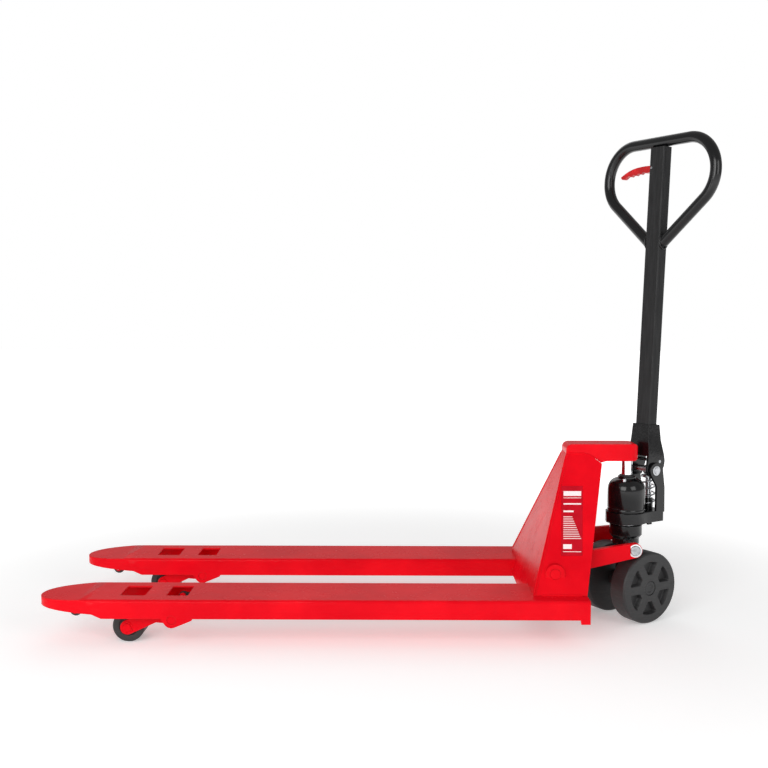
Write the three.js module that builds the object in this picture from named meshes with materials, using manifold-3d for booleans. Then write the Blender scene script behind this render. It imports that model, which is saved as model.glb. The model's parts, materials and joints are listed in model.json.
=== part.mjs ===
// A hand pallet jack: a welded fork frame carried by two trailing roller arms and by
// a rocker that hangs on a bearing block over two steered wheels. A hand pump on the
// steered unit pushes the head of the frame up, and a looped handle works the pump.
// Millimetres, +Z up. While it is built, X = 0 and Y = 0 lie on the steering axis, the
// fork tips point along -X and the left side of the operator is -Y.

import * as THREE from 'three';
import { mergeVertices } from 'three/addons/utils/BufferGeometryUtils.js';
import Module from 'manifold-3d';

const wasm = await Module();
wasm.setup();

// ---------------------------------------------------------------- driving dimensions

const degree = Math.PI / 180;

// clearances
const seatGap = 0.3;           // between pieces that touch or are welded
const runningGap = 0.06;       // radial, between a turning pin and its bore
const sideGap = 1.0;           // along an axle, between a turning piece and its support

// fork frame
const overallWidth = 550;
const forkWidth = 160;
const deckLength = 1175;       // tower foot to fork tip
const heelLength = 128;        // fork length behind the tower foot
const deckHeight = 114;        // fork top above the floor in the rest pose
const forkDepth = 45;
const forkWall = 4.5;
const forkBend = 8;            // outer radius of the folded top edges
const noseLength = 140;
const noseRise = 10;           // how much shallower the nose is at the step
const noseLift = 10;           // and how much more it rises towards the tip
const noseCut = 23;            // length of the slanted step ahead of the load rollers
const noseTaper = 160;         // length of the bullet shape in plan
const noseDroop = 7;           // fall of the nose's top at the tip
const heelFoot = 13;           // length of the small foot below the heel
const heelFootDrop = 10;
const windowWidth = 82;
const windows = [[198, 258], [308, 359]];   // from the fork tip, start and end
const leverSlot = 80;          // length of the slot for the rocker lever in the fork's top

// tower
const heelOut = -138;          // the fork heels' place on X
const towerSlope = 0.339;      // the front plate's lean, X per Z
const towerBackSlope = 0.2266; // the side plates' rear edge, X per Z
const towerFootOut = 35;       // the side plates at the deck, outwards from the forks' middle
const towerTopHalf = 34.5;     // half width at the top, where the plates meet the head
const towerTop = 424;
const towerBackTop = 401;      // where the rear edge turns forward
const towerBackFlat = 30;      // how far back the plates' top edge runs level, short of the rear edge
const plateThick = 6;
const skirtDrop = 40;          // the cross plate between the forks reaches this far below the deck

// head
const headTop = 448;
const headEnd = 25;            // past the steering axis
const headFloor = 405;         // underside of the head at the piston
const headWall = 5;
const headCorner = 15;
const headRound = 28;          // plan radius of its end, clear of the handle as it steers

// rocker
const rockerReach = 210.5;     // steering axis to the frame pivot, along X
const pinHeight = 194;         // arm pins on the bearing block
const pivotHeight = 160;       // frame pivot
const armThick = 15;
const armInnerAtPin = 97;      // inner face of an arm at the pin, from the middle plane
const armLeverGap = 23;        // between an arm and the lever beside it, at the frame pivot
const armHalfAtPin = 18;
const armHalfAtPivot = 26;
const pinRadius = 12.5;
const shaftRadius = 12.5;
const rockerTubeRadius = 20;
const bossRadius = 23;
const leverLength = 62;        // frame pivot to push-rod pin
const leverTilt = 6.3 * degree;
const leverThick = 10;
const pushRodInset = 30;       // push rods, from the fork's middle towards the other fork
const pushRodRadius = 6;
const linkPinRadius = 5;

// load-roller arms
const rollerRadius = 38;
const rollerWidth = 74;
const rollerAxleRadius = 10;
const armPivotBack = 327;      // arm pivot, from the fork tip
const rollerBack = 215.3;      // load roller axle, from the fork tip
const armPivotDrop = 48;       // arm pivot below the deck
const rollerPlateThick = 8;
const armBossRadius = 19;
const armLinkLength = 29.5;    // arm pivot to the push-rod pin
const entryBack = 87;
const entryRadius = 15;
const entryWidth = 50;
const entryDrop = 40;          // entry axle below the deck

// bearing block and steered wheels
const blockRadius = 41;
const blockTop = 240;
const blockBottom = 187;
const spindleRadius = 24;
const wheelRadius = 90;
const wheelWidth = 50;
const wheelOuterFace = 89;
const wheelAxleRadius = 12.5;
const steerAngle = 32 * degree;

// pump
const flangeTop = 272;
const flangeRadius = 52;
const flangeRear = 93;
const lugOuter = 44;
const lugThick = 6.5;
const reservoirRadius = 47.5;
const reservoirShoulder = 330;
const reservoirTop = 362;
const pistonRadius = 14;
const pistonBottom = 226;
const plungerOut = 78;         // plunger axis from the steering axis
const handlePivotOut = 60;
const handlePivotHeight = 376;
const handleShaftRadius = 8;
const pumpRollerOut = 20;      // the handle's roller, from the handle pivot
const pumpRollerDown = 4;
const pumpRollerRadius = 12;
const pumpRollerPin = 5;       // radius
const stopPinOut = 18;
const stopPinUp = 22;
const stopPinRadius = 4;

// handle
const handleLean = 2.7 * degree;
const tubeAcross = 49;
const tubeDeep = 29;
const tubeWall = 2.5;
const tubeStart = 62;          // from the handle pivot, along the tube
const loopTop = 836;           // centre line of the top bar, from the pivot
const loopRadius = 14;
const loopCorner = 87;
const loopBarHalf = 94;
const legStart = 581;          // where the legs meet the tube
const collarTop = 116;
const leverHeight = 771;       // hand lever pivot, from the handle pivot

// derived places in the frame
const towerFoot = heelOut - heelLength;
const forkTip = towerFoot - deckLength;
const forkHeel = towerFoot + heelLength;
const forkCentre = (overallWidth - forkWidth) / 2;
const forkInnerHalf = forkWidth / 2 - forkWall;
const pushRodOffset = forkCentre - pushRodInset;
const armInnerAtPivot = pushRodOffset - leverThick / 2 - armLeverGap - armThick;
const towerFootHalf = forkCentre + towerFootOut;
const deckUnder = deckHeight - forkWall;
const armPivotX = forkTip + armPivotBack;
const armPivotZ = deckHeight - armPivotDrop;
const rollerX = forkTip + rollerBack;
const pipeSteps = 20;          // facets round a bore or a pin
const wheelSteps = 44;
const curveSteps = 4;          // facets in a quarter of an outline's round corner, about
const sides = [['left', -1], ['right', 1]];

// ---------------------------------------------------------------- materials

function paint(colour, roughness, metalness) {
  return new THREE.MeshStandardMaterial({ color: colour, roughness, metalness });
}

const redPaint = paint(0xe8141f, 0.35, 0);
const blackPaint = paint(0x141414, 0.35, 0.1);
const greyPaint = paint(0x2b2b2d, 0.5, 0.1);
const wheelNylon = paint(0x222224, 0.7, 0);
const rollerNylon = paint(0x161616, 0.6, 0);
const steel = paint(0xc9ccd0, 0.25, 1);
const chrome = paint(0xe6e8ea, 0.08, 1);
const leverPlastic = paint(0xd8141c, 0.4, 0);
const labelFilm = paint(0xb80d16, 0.45, 0);

// ---------------------------------------------------------------- solids

function toManifold(geometry) {
  const bare = geometry.index ? geometry.clone() : geometry;
  bare.deleteAttribute('normal');
  bare.deleteAttribute('uv');
  const merged = mergeVertices(bare, 1e-4);
  return new wasm.Manifold(new wasm.Mesh({
    numProp: 3,
    vertProperties: new Float32Array(merged.attributes.position.array),
    triVerts: new Uint32Array(merged.index.array),
  }));
}

function toMesh(name, solid, material) {
  const result = solid.getMesh();
  const geometry = new THREE.BufferGeometry();
  geometry.setAttribute('position', new THREE.BufferAttribute(result.vertProperties, 3));
  geometry.setIndex(new THREE.BufferAttribute(result.triVerts, 1));
  geometry.computeVertexNormals();
  const mesh = new THREE.Mesh(geometry, material);
  mesh.name = name;
  return mesh;
}

function block(x0, x1, y0, y1, z0, z1) {
  const geometry = new THREE.BoxGeometry(x1 - x0, y1 - y0, z1 - z0);
  geometry.translate((x0 + x1) / 2, (y0 + y1) / 2, (z0 + z1) / 2);
  return toManifold(geometry);
}

// a cylinder along Y between two Y values, on the axis (x, z)
function pinY(x, z, radius, y0, y1, steps = pipeSteps) {
  const geometry = new THREE.CylinderGeometry(radius, radius, y1 - y0, steps);
  geometry.translate(x, (y0 + y1) / 2, z);
  return toManifold(geometry);
}

// a cylinder along Z between two Z values, on the axis (x, y)
function pinZ(x, y, radius, z0, z1, steps = pipeSteps) {
  const geometry = new THREE.CylinderGeometry(radius, radius, z1 - z0, steps);
  geometry.rotateX(Math.PI / 2);
  geometry.translate(x, y, (z0 + z1) / 2);
  return toManifold(geometry);
}

// a small cylinder along X, centred on X = 0, on the axis (y, z)
function pinX(y, z, radius, half) {
  const geometry = new THREE.CylinderGeometry(radius, radius, 2 * half, 16);
  geometry.rotateZ(Math.PI / 2);
  geometry.translate(0, y, z);
  return toManifold(geometry);
}

// the radius at which a bore with flat facets clears a pin by the running gap
function bore(radius, gap = runningGap, steps = pipeSteps) {
  return (radius + gap) / Math.cos(Math.PI / steps);
}

// a body of revolution about Z from [radius, z] pairs that start and end on the axis
function turned(profile, steps = 26) {
  const points = profile.map(([radius, z]) => new THREE.Vector2(radius, z));
  const geometry = new THREE.LatheGeometry(points, steps);
  geometry.rotateX(Math.PI / 2);
  return toManifold(geometry);
}

// the same body about an axis along Y, its profile running along +Y from y = 0
function turnedY(profile, steps = 26) {
  const points = profile.map(([radius, y]) => new THREE.Vector2(radius, y));
  return toManifold(new THREE.LatheGeometry(points, steps));
}

// an outline in X and Z, given as a Shape, made thick along Y from y0 to y1
function plateXZ(shape, y0, y1, curveSegments = curveSteps) {
  const geometry = new THREE.ExtrudeGeometry(shape, { depth: y1 - y0, bevelEnabled: false, curveSegments });
  geometry.rotateX(Math.PI / 2);
  geometry.translate(0, y1, 0);
  return toManifold(geometry);
}

// an outline in X and Y made thick along Z from z0 to z1
function plateXY(shape, z0, z1, curveSegments = curveSteps) {
  const geometry = new THREE.ExtrudeGeometry(shape, { depth: z1 - z0, bevelEnabled: false, curveSegments });
  geometry.translate(0, 0, z0);
  return toManifold(geometry);
}

// an outline in Y and Z made long along X from x0 to x1
function barYZ(shape, x0, x1, curveSegments = 3) {
  const geometry = new THREE.ExtrudeGeometry(shape, { depth: x1 - x0, bevelEnabled: false, curveSegments });
  geometry.rotateX(Math.PI / 2);
  geometry.rotateZ(Math.PI / 2);
  geometry.translate(x0, 0, 0);
  return toManifold(geometry);
}

function polygon(points) {
  return new THREE.Shape(points.map(([x, y]) => new THREE.Vector2(x, y)));
}

// two round ends joined by their common tangents
function linkOutline(x0, z0, r0, x1, z1, r1) {
  const length = Math.hypot(x1 - x0, z1 - z0);
  const heading = Math.atan2(z1 - z0, x1 - x0);
  const spread = Math.acos((r0 - r1) / length);
  const shape = new THREE.Shape();
  shape.absarc(x0, z0, r0, heading + spread, heading - spread + 2 * Math.PI, false);
  shape.absarc(x1, z1, r1, heading - spread, heading + spread, false);
  return shape;
}

function roundedBox(width, height, radius, cx = 0, cy = 0) {
  const [x0, x1] = [cx - width / 2, cx + width / 2];
  const [y0, y1] = [cy - height / 2, cy + height / 2];
  const shape = new THREE.Shape();
  shape.absarc(x1 - radius, y1 - radius, radius, 0, Math.PI / 2, false);
  shape.absarc(x0 + radius, y1 - radius, radius, Math.PI / 2, Math.PI, false);
  shape.absarc(x0 + radius, y0 + radius, radius, Math.PI, 1.5 * Math.PI, false);
  shape.absarc(x1 - radius, y0 + radius, radius, 1.5 * Math.PI, 2 * Math.PI, false);
  return shape;
}

// moves every point by a sideways slope: y = y + slope * (x - x0)
function sheared(solid, slope, x0) {
  return solid.warp((point) => {
    point[1] += slope * (point[0] - x0);
  });
}

// ---------------------------------------------------------------- forks

// the fork's section: a rounded inverted trough, inset by a wall and open below
function forkSection(inset) {
  const half = forkWidth / 2 - inset;
  const top = deckHeight - inset;
  const bend = forkBend - inset;
  const foot = deckHeight - forkDepth - heelFootDrop - (inset ? 10 : 0);
  const shape = new THREE.Shape();
  shape.moveTo(-half, foot);
  shape.lineTo(half, foot);
  shape.absarc(half - bend, top - bend, bend, 0, Math.PI / 2, false);
  shape.absarc(-half + bend, top - bend, bend, Math.PI / 2, Math.PI, false);
  return shape;
}

// the plan: straight sides, then a bullet nose as one smooth curve on each side
function forkPlan(inset) {
  const half = forkWidth / 2 - inset;
  const heel = forkHeel - inset;
  const tip = forkTip + inset;
  const start = forkTip + noseTaper;
  const shape = new THREE.Shape();
  shape.moveTo(heel, -half);
  shape.lineTo(heel, half);
  shape.lineTo(start, half);
  shape.bezierCurveTo(start - noseTaper * 0.55, half, tip, half * 0.72, tip, 0);
  shape.bezierCurveTo(tip, -half * 0.72, start - noseTaper * 0.55, -half, start, -half);
  return shape;
}

// what the side walls lose below: the long straight run and the shallower nose
function forkUndercut() {
  const low = deckHeight - forkDepth;
  const floor = low - 60;
  const step = forkTip + noseLength;
  return plateXZ(polygon([
    [forkTip - 10, floor],
    [forkHeel - heelFoot, floor],
    [forkHeel - heelFoot - heelFootDrop, low],
    [step + noseCut, low],
    [step, low + noseRise],
    [forkTip - 10, low + noseRise + noseLift],
  ]), -forkWidth, forkWidth);
}

// a triangular ear that carries the roller arm's pivot, along one side wall
function pivotEar(y0, y1) {
  const low = deckHeight - forkDepth;
  const behind = linkOutline(armPivotX, armPivotZ, armBossRadius, armPivotX + 44, low, 5);
  const ahead = linkOutline(armPivotX, armPivotZ, armBossRadius, armPivotX - 20, low + 3, 6);
  return plateXZ(behind, y0, y1, 5).add(plateXZ(ahead, y0, y1, 5));
}

function entryHanger(y0, y1) {
  const axleZ = deckHeight - entryDrop;
  const x = forkTip + entryBack;
  const hanger = linkOutline(x, axleZ, 8, x, deckUnder, 16);
  return plateXZ(hanger, y0, y1);
}

function makeFork(name, sign) {
  const low = forkTip - 20;
  let fork = barYZ(forkSection(0), low, forkHeel + 10)
    .intersect(plateXY(forkPlan(0), 0, 2 * deckHeight, 12))
    .subtract(forkUndercut());
  const droop = polygon([
    [forkTip - 10, deckHeight - noseDroop],
    [forkTip + noseLength, deckHeight],
    [forkTip - 10, deckHeight + 10],
  ]);
  const cap = plateXZ(droop, -forkWidth, forkWidth);
  const hollow = barYZ(forkSection(forkWall), low, forkHeel + 10)
    .intersect(plateXY(forkPlan(forkWall), 0, 2 * deckHeight, 12))
    .subtract(cap.translate([0, 0, -forkWall]));
  fork = fork.subtract(hollow);
  const half = forkWidth / 2;
  for (const end of [-1, 1]) {
    const outer = end * half;
    const inner = end * (forkInnerHalf - 4);
    fork = fork.add(pivotEar(Math.min(outer, inner), Math.max(outer, inner)));
    const hangerFace = end * (entryWidth / 2 + sideGap);
    const hangerBack = hangerFace + end * 5;
    fork = fork.add(entryHanger(Math.min(hangerFace, hangerBack), Math.max(hangerFace, hangerBack)));
  }
  fork = fork.intersect(block(low, forkHeel + 10, -half, half, 0, deckHeight));
  fork = fork.subtract(cap);
  for (const [start, end] of windows) {
    const window = roundedBox(end - start, windowWidth, 5, forkTip + (start + end) / 2, 0);
    fork = fork.subtract(plateXY(window, deckUnder - 5, deckHeight + 5, 2));
  }
  const slotMiddle = sign * (pushRodOffset - forkCentre);
  const slot = roundedBox(leverSlot, leverThick + 18, 6, -rockerReach, slotMiddle);
  fork = fork.subtract(plateXY(slot, deckUnder - 5, deckHeight + 5, 2));
  fork = fork.subtract(pinY(armPivotX, armPivotZ, bore(rollerAxleRadius, seatGap), -half - 5, half + 5));
  const entryBore = bore(4, seatGap, 16);
  fork = fork.subtract(pinY(forkTip + entryBack, deckHeight - entryDrop, entryBore, -half, half, 16));
  return toMesh(name, fork.translate([0, sign * forkCentre, 0]), redPaint);
}

function makeEntryAxle(name, sign) {
  const reach = entryWidth / 2 + sideGap + 8;
  const centre = sign * forkCentre;
  const axle = pinY(forkTip + entryBack, deckHeight - entryDrop, 4, centre - reach, centre + reach, 16);
  return toMesh(name, axle, steel);
}

function makeEntryRoller(name, sign) {
  const half = entryWidth / 2;
  const soft = 3;
  const roller = turnedY([
    [0, -half], [entryRadius - soft, -half], [entryRadius, soft - half],
    [entryRadius, half - soft], [entryRadius - soft, half], [0, half],
  ], 32).subtract(pinY(0, 0, bore(4, runningGap, 16), -half - 1, half + 1, 16));
  const placed = roller.translate([forkTip + entryBack, sign * forkCentre, deckHeight - entryDrop]);
  return toMesh(name, placed, rollerNylon);
}

// ---------------------------------------------------------------- tower and head

// the side plates lean inwards from foot to top: half width at a height
function towerHalf(z) {
  return towerFootHalf + (towerTopHalf - towerFootHalf) * (z - deckHeight) / (towerTop - deckHeight);
}

function frontFaceX(z) {
  return towerFoot + towerSlope * (z - deckHeight);
}

// a slab behind the tower's slanted front face, from one depth to another
function frontSlab(near, far, half) {
  const z0 = deckHeight - skirtDrop;
  const z1 = towerTop + 60;
  const outline = polygon([
    [frontFaceX(z0) + near, z0],
    [frontFaceX(z0) + far, z0],
    [frontFaceX(z1) + far, z1],
    [frontFaceX(z1) + near, z1],
  ]);
  return plateXZ(outline, -half, half);
}

// all that lies between the outer faces of the two leaning side plates, inset by a wall
function betweenSides(inset) {
  const z0 = deckHeight - 40;
  const z1 = towerTop + 2;
  const outline = polygon([
    [-towerHalf(z0) + inset, z0],
    [towerHalf(z0) - inset, z0],
    [towerHalf(z1) - inset, z1],
    [-towerHalf(z1) + inset, z1],
  ]);
  return barYZ(outline, towerFoot - 50, 60);
}

// the side plates' outline seen from the side
function sideOutline() {
  const foot = deckHeight + seatGap;
  const backTop = forkHeel + towerBackSlope * (towerBackTop - deckHeight);
  return polygon([
    [frontFaceX(foot), foot],
    [forkHeel, foot],
    [backTop, towerBackTop],
    [backTop - towerBackFlat, towerTop],
    [frontFaceX(towerTop), towerTop],
  ]);
}

function makeSidePlate(name, sign) {
  const edge = plateThick / Math.cos(Math.atan2(towerFootHalf - towerTopHalf, towerTop - deckHeight));
  const y0 = sign > 0 ? 0 : -towerFootHalf - 10;
  const y1 = sign > 0 ? towerFootHalf + 10 : 0;
  const pivotY = towerHalf(pivotHeight);
  const inner = Math.min(sign * (pivotY - 12), sign * (pivotY + 6));
  const boss = pinY(-rockerReach, pivotHeight, bossRadius, inner, inner + 18);
  const plate = plateXZ(sideOutline(), y0, y1)
    .intersect(betweenSides(0))
    .subtract(betweenSides(edge))
    .subtract(frontSlab(-20, plateThick + seatGap, overallWidth))
    .add(boss)
    .subtract(pinY(-rockerReach, pivotHeight, bore(shaftRadius, seatGap), inner - 20, inner + 40));
  return toMesh(name, plate, redPaint);
}

function makeFrontPlate() {
  const plate = frontSlab(0, plateThick, overallWidth)
    .intersect(betweenSides(0))
    .intersect(plateXZ(sideOutline(), -overallWidth, overallWidth));
  const skirtHalf = overallWidth / 2 - forkWidth - seatGap;
  const skirtTop = deckHeight + seatGap + 4;
  const skirt = frontSlab(0, plateThick, skirtHalf)
    .intersect(block(towerFoot - 60, towerFoot + 60, -skirtHalf, skirtHalf, skirtTop - skirtDrop, skirtTop));
  return toMesh('front_plate', plate.add(skirt), redPaint);
}

// the head seen from the side: a long hook that ends round over the piston
function headOutline(inset) {
  const front = frontFaceX(towerTop) + inset;
  const top = headTop - inset;
  const end = headEnd - inset;
  const backTop = forkHeel + towerBackSlope * (towerBackTop - deckHeight);
  const drop = inset ? 30 : 0;
  const bend = inset ? 2 : headCorner;
  const shape = new THREE.Shape();
  shape.moveTo(front, towerTop + seatGap - drop);
  shape.lineTo(backTop - towerBackFlat, towerTop + seatGap - drop);
  shape.lineTo(backTop, towerBackTop + seatGap - drop);
  shape.lineTo(backTop + 14, headFloor - drop);
  shape.lineTo(end - 12, headFloor - drop);
  shape.absarc(end - 12, headFloor - drop + 12, 12, -Math.PI / 2, 0, false);
  shape.absarc(end - bend, top - bend, bend, 0, Math.PI / 2, false);
  shape.absarc(front + headCorner, top - headCorner, headCorner, Math.PI / 2, Math.PI, false);
  return shape;
}

function headPlan(inset) {
  const front = frontFaceX(towerTop) - 5 + inset;
  const half = towerTopHalf - inset;
  const end = headEnd - inset;
  const round = headRound - inset;
  const shape = new THREE.Shape();
  shape.moveTo(front, half);
  shape.lineTo(front, -half);
  shape.absarc(end - round, -half + round, round, -Math.PI / 2, 0, false);
  shape.absarc(end - round, half - round, round, 0, Math.PI / 2, false);
  return shape;
}

function makeHead() {
  const outer = plateXZ(headOutline(0), -towerTopHalf - 20, towerTopHalf + 20)
    .intersect(plateXY(headPlan(0), 0, 2 * headTop, 6));
  const inner = plateXZ(headOutline(headWall), -towerTopHalf - 20, towerTopHalf + 20)
    .intersect(plateXY(headPlan(headWall), 0, 2 * headTop, 6));
  return toMesh('tower_head', outer.subtract(inner), redPaint);
}

// the piston's seat wanders by this much either way while the frame swings
const pistonWander = 4.75;
const pistonSeat = -2.05;
const cupRoof = 4;

function makeLiftCup() {
  const inner = pistonRadius + pistonWander + 0.3;
  const outer = inner + 2;
  const top = headTop - headWall - seatGap;
  const mouth = top - 24;
  const cup = turned([[0, top], [outer, top], [outer, mouth], [0, mouth]].reverse())
    .subtract(pinZ(0, 0, inner, mouth - 1, top - cupRoof, 32));
  return toMesh('lift_cup', cup.translate([pistonSeat, 0, 0]), blackPaint);
}

function makePivotShaft() {
  const half = towerHalf(pivotHeight) + 7;
  return toMesh('pivot_shaft', pinY(-rockerReach, pivotHeight, shaftRadius, -half, half), steel);
}

// a thin plate on the left side plate's outer face
function makeNamePlate() {
  const lean = (towerFootHalf - towerTopHalf) / (towerTop - deckHeight);
  const film = 0.8;
  const lift = seatGap * Math.hypot(1, lean);
  const outline = polygon([[-193, 198], [-142, 198], [-127, 350], [-179, 350]]);
  const slab = plateXZ(outline, -film / 2, film / 2).warp((point) => {
    point[1] += -towerHalf(point[2]) - lift - film / 2;
  });
  return toMesh('name_plate', slab, labelFilm);
}

// ---------------------------------------------------------------- rocker

function makeRockerTube() {
  const half = pushRodOffset + leverThick / 2 + 4;
  const tube = pinY(-rockerReach, pivotHeight, rockerTubeRadius, -half, half)
    .subtract(pinY(-rockerReach, pivotHeight, bore(shaftRadius), -half - 1, half + 1));
  return toMesh('rocker_tube', tube, redPaint);
}

const armSlope = (armInnerAtPin - armInnerAtPivot) / rockerReach;

function makeRockerArm(name, sign) {
  const outline = linkOutline(-rockerReach, pivotHeight, armHalfAtPivot, 0, pinHeight, armHalfAtPin);
  const flat = plateXZ(outline, armInnerAtPin, armInnerAtPin + armThick, 5);
  const arm = sheared(flat, armSlope, 0);
  const reach = armInnerAtPivot + armThick;
  const bored = arm
    .subtract(pinY(-rockerReach, pivotHeight, bore(rockerTubeRadius, seatGap), 50, reach + 30))
    .subtract(pinY(0, pinHeight, bore(pinRadius, seatGap), 50, reach + 30));
  const solid = sign > 0 ? bored : bored.mirror([0, 1, 0]);
  return toMesh(name, solid, redPaint);
}

function makeArmPin(name, sign) {
  const inner = spindleRadius + 10;
  const outer = armInnerAtPin + armThick + 4;
  const pin = turnedY([
    [0, inner], [pinRadius, inner], [pinRadius, outer - 1.5], [pinRadius - 1.5, outer], [0, outer],
  ], pipeSteps);
  const solid = sign > 0 ? pin : pin.mirror([0, 1, 0]);
  return toMesh(name, solid.translate([0, 0, pinHeight]), chrome);
}

// where the push-rod pin sits: below the frame pivot, tilted towards the wheels
const leverPinX = -rockerReach + leverLength * Math.sin(leverTilt);
const leverPinZ = pivotHeight - leverLength * Math.cos(leverTilt);

function makeRockerLever(name, sign) {
  const middle = sign * pushRodOffset;
  const outline = linkOutline(-rockerReach, pivotHeight, rockerTubeRadius + 7, leverPinX, leverPinZ, 10);
  const y0 = middle - leverThick / 2;
  const y1 = middle + leverThick / 2;
  const lever = plateXZ(outline, y0, y1)
    .subtract(pinY(-rockerReach, pivotHeight, bore(rockerTubeRadius, seatGap), y0 - 5, y1 + 5))
    .subtract(pinY(leverPinX, leverPinZ, bore(linkPinRadius, seatGap, 20), y0 - 5, y1 + 5, 20));
  return toMesh(name, lever, redPaint);
}

function makeLeverPin(name, sign) {
  const middle = sign * pushRodOffset;
  const half = leverThick / 2 + 6.5;
  return toMesh(name, pinY(leverPinX, leverPinZ, linkPinRadius, middle - half, middle + half, 20), steel);
}

// ---------------------------------------------------------------- push rods and roller arms

const armLinkTilt = 2.1 * leverTilt;
const linkPinX = armPivotX + armLinkLength * Math.sin(armLinkTilt);
const linkPinZ = armPivotZ + armLinkLength * Math.cos(armLinkTilt);
const linkSlot = 3.3;          // free travel of the link pin, up and down
const rodEndDrop = 1.8;
const rodEndHalf = 11.2;

function makePushRod(name, sign) {
  const middle = sign * pushRodOffset;
  const eyeZ = linkPinZ - rodEndDrop;
  const eyeHalf = leverThick / 2;
  const start = new THREE.Vector3(linkPinX + 6, middle, eyeZ);
  const finish = new THREE.Vector3(leverPinX - 22, middle, leverPinZ);
  const path = new THREE.LineCurve3(start, finish);
  const round = new THREE.Shape();
  round.absarc(0, 0, pushRodRadius, 0, 2 * Math.PI, false);
  const rodGeometry = new THREE.ExtrudeGeometry(round, {
    steps: 1, bevelEnabled: false, extrudePath: path, curveSegments: 6,
  });
  const cheek = 5;
  const forkHalf = eyeHalf + 1 + cheek;
  const yoke = plateXZ(linkOutline(leverPinX - 24, leverPinZ, 8, leverPinX, leverPinZ, 9),
    middle - forkHalf, middle + forkHalf)
    .subtract(block(leverPinX - 19, leverPinX + 40, middle - eyeHalf - 1, middle + eyeHalf + 1,
      leverPinZ - 30, leverPinZ + 30));
  const eye = plateXZ(linkOutline(linkPinX, eyeZ, rodEndHalf, linkPinX + 22, eyeZ, 6),
    middle - eyeHalf, middle + eyeHalf);
  const slotHalf = linkPinRadius + linkSlot;
  const slot = block(linkPinX - linkPinRadius - 1, linkPinX + linkPinRadius + 1,
    middle - 20, middle + 20, eyeZ - slotHalf, eyeZ + slotHalf);
  const rod = toManifold(rodGeometry).add(yoke).add(eye)
    .subtract(slot)
    .subtract(pinY(leverPinX, leverPinZ, bore(linkPinRadius, runningGap, 20), middle - 30, middle + 30, 20));
  return toMesh(name, rod, greyPaint);
}

// two cheek plates, a cross tube at the pivot and two small lugs with the link pin
function makeRollerArm(name, sign) {
  const inner = rollerWidth / 2 + sideGap + 1;
  const outer = inner + rollerPlateThick;
  const elbowX = armPivotX - 46;
  const elbowRadius = armBossRadius - 4;
  const upper = linkOutline(armPivotX, armPivotZ, armBossRadius, elbowX, armPivotZ, elbowRadius);
  const lower = linkOutline(elbowX, armPivotZ, elbowRadius, rollerX, rollerRadius, armBossRadius - 2);
  let arm = pinY(armPivotX, armPivotZ, armBossRadius - 4, -inner - 2, inner + 2);
  for (const end of [-1, 1]) {
    const y0 = Math.min(end * inner, end * outer);
    const y1 = Math.max(end * inner, end * outer);
    arm = arm.add(plateXZ(upper, y0, y1, 5)).add(plateXZ(lower, y0, y1, 5));
  }
  const link = sign * (pushRodOffset - forkCentre);
  const lugFoot = armBossRadius - 4;
  const lugOutline = linkOutline(armPivotX, armPivotZ, lugFoot, linkPinX, linkPinZ, linkPinRadius + 3);
  for (const end of [-1, 1]) {
    const near = link + end * (leverThick / 2 + 1);
    const far = near + end * 5;
    arm = arm.add(plateXZ(lugOutline, Math.min(near, far), Math.max(near, far)));
  }
  const pinHalf = leverThick / 2 + 3;
  arm = arm.add(pinY(linkPinX, linkPinZ, linkPinRadius, link - pinHalf, link + pinHalf, 20));
  arm = arm
    .subtract(pinY(armPivotX, armPivotZ, bore(rollerAxleRadius), -outer - 5, outer + 5))
    .subtract(pinY(rollerX, rollerRadius, bore(rollerAxleRadius, seatGap), -outer - 5, outer + 5));
  return toMesh(name, arm.translate([0, sign * forkCentre, 0]), redPaint);
}

function makeArmPivot(name, sign) {
  const half = forkWidth / 2 - 1;
  const centre = sign * forkCentre;
  return toMesh(name, pinY(armPivotX, armPivotZ, rollerAxleRadius, centre - half, centre + half), steel);
}

function makeRollerAxle(name, sign) {
  const half = rollerWidth / 2 + sideGap + 1 + rollerPlateThick + 3;
  const centre = sign * forkCentre;
  return toMesh(name, pinY(rollerX, rollerRadius, rollerAxleRadius, centre - half, centre + half), steel);
}

function makeLoadRoller(name, sign) {
  const half = rollerWidth / 2;
  const soft = 3;
  const roller = turnedY([
    [0, -half], [rollerRadius - soft, -half], [rollerRadius, soft - half],
    [rollerRadius, half - soft], [rollerRadius - soft, half], [0, half],
  ]).subtract(pinY(0, 0, bore(rollerAxleRadius), -half - 1, half + 1));
  return toMesh(name, roller.translate([rollerX, sign * forkCentre, rollerRadius]), rollerNylon);
}

// ---------------------------------------------------------------- bearing block

function makeBearingBlock() {
  // the bosses round the arm pins stay inside the steered wheels' turning circle
  const boss = pinRadius + 3;
  const bossEnd = blockRadius - 5;
  const body = turned([
    [0, blockBottom], [32, blockBottom], [34, blockBottom + 3], [34, 204], [blockRadius - 2, 210],
    [blockRadius, 213], [blockRadius, blockTop - 2], [blockRadius - 2, blockTop], [0, blockTop],
  ])
    .add(pinY(0, pinHeight, boss, -bossEnd, bossEnd))
    .subtract(pinZ(0, 0, bore(spindleRadius), blockBottom - 20, blockTop + 1))
    .subtract(pinY(0, pinHeight, bore(pinRadius), spindleRadius, armInnerAtPin + 5))
    .subtract(pinY(0, pinHeight, bore(pinRadius), -armInnerAtPin - 5, -spindleRadius));
  return toMesh('bearing_block', body, blackPaint);
}

const bearingThick = 4;

function makeThrustBearing() {
  const ring = pinZ(0, 0, blockRadius - 3, blockTop + seatGap, blockTop + bearingThick - seatGap)
    .subtract(pinZ(0, 0, spindleRadius + 1, blockTop, blockTop + bearingThick));
  return toMesh('thrust_bearing', ring, steel);
}

// ---------------------------------------------------------------- steered unit
// Built straight ahead: +X towards the operator, later turned about the steering axis.

const flangeBottom = blockTop + bearingThick;
const capDepth = 5;            // how deep the wheel cap sits
const boreBottom = pistonBottom - 34;

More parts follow.
